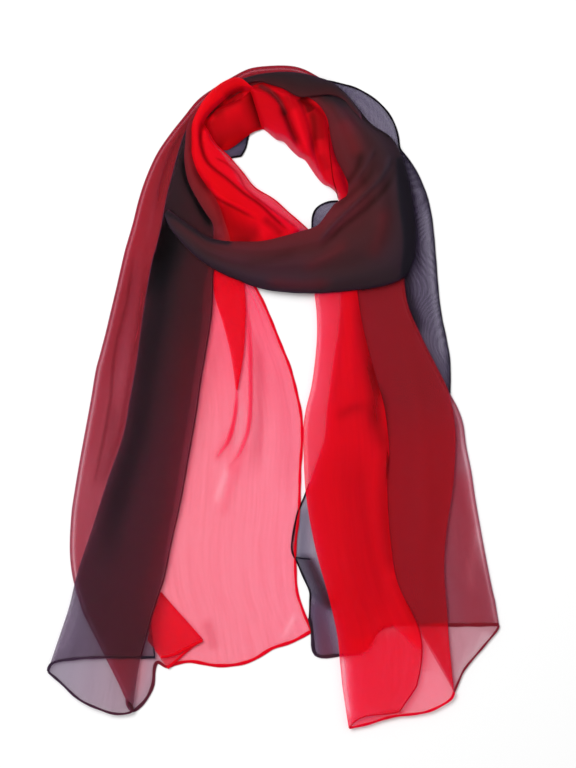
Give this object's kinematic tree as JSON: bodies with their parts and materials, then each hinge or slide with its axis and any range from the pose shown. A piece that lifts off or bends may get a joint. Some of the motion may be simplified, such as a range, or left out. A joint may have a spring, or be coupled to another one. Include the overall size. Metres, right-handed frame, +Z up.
{
  "type": "chiffon scarf",
  "caption": "Oblong sheer chiffon scarf, shaded from red at one long edge to near black at the other, folded lengthwise, turned once as round a neck and laid flat.",
  "frame": {"origin": "middle of the laid scarf's box, on the surface it lies on", "axes": "+X across the scarf to the right as seen from above, +Y from the ends up to the neck turn, +Z up off the surface"},
  "size_m": [0.4517, 0.6625, 0.0196],
  "materials": {
    "bright_red": "sheer chiffon, matt with a faint sheen",
    "pink_red": "sheer chiffon, matt with a faint sheen",
    "deep_red": "sheer chiffon, matt with a faint sheen",
    "maroon": "sheer chiffon, matt with a faint sheen",
    "plum": "sheer chiffon, matt with a faint sheen",
    "dark_grey": "sheer chiffon, matt with a faint sheen"
  },
  "bodies": {
    "root": {"inner_pleat": "bright_red", "right_tail_front": "bright_red", "red_roll": "bright_red", "inner_roll": "bright_red", "upper_fold": "bright_red", "middle_fold": "bright_red", "lower_fold": "bright_red", "left_tail_back": "pink_red", "hem_pleat": "deep_red", "turn_back": "deep_red", "collar": "deep_red", "left_core": "deep_red", "right_tail_back": "maroon", "dark_roll": "maroon", "left_tail_front": "plum", "turn_front": "plum", "front_band": "plum", "band_core": "plum", "outer_edge": "dark_grey", "shoulder": "dark_grey", "upper_tip": "dark_grey", "lower_tip": "dark_grey"}
  },
  "joints": []
}
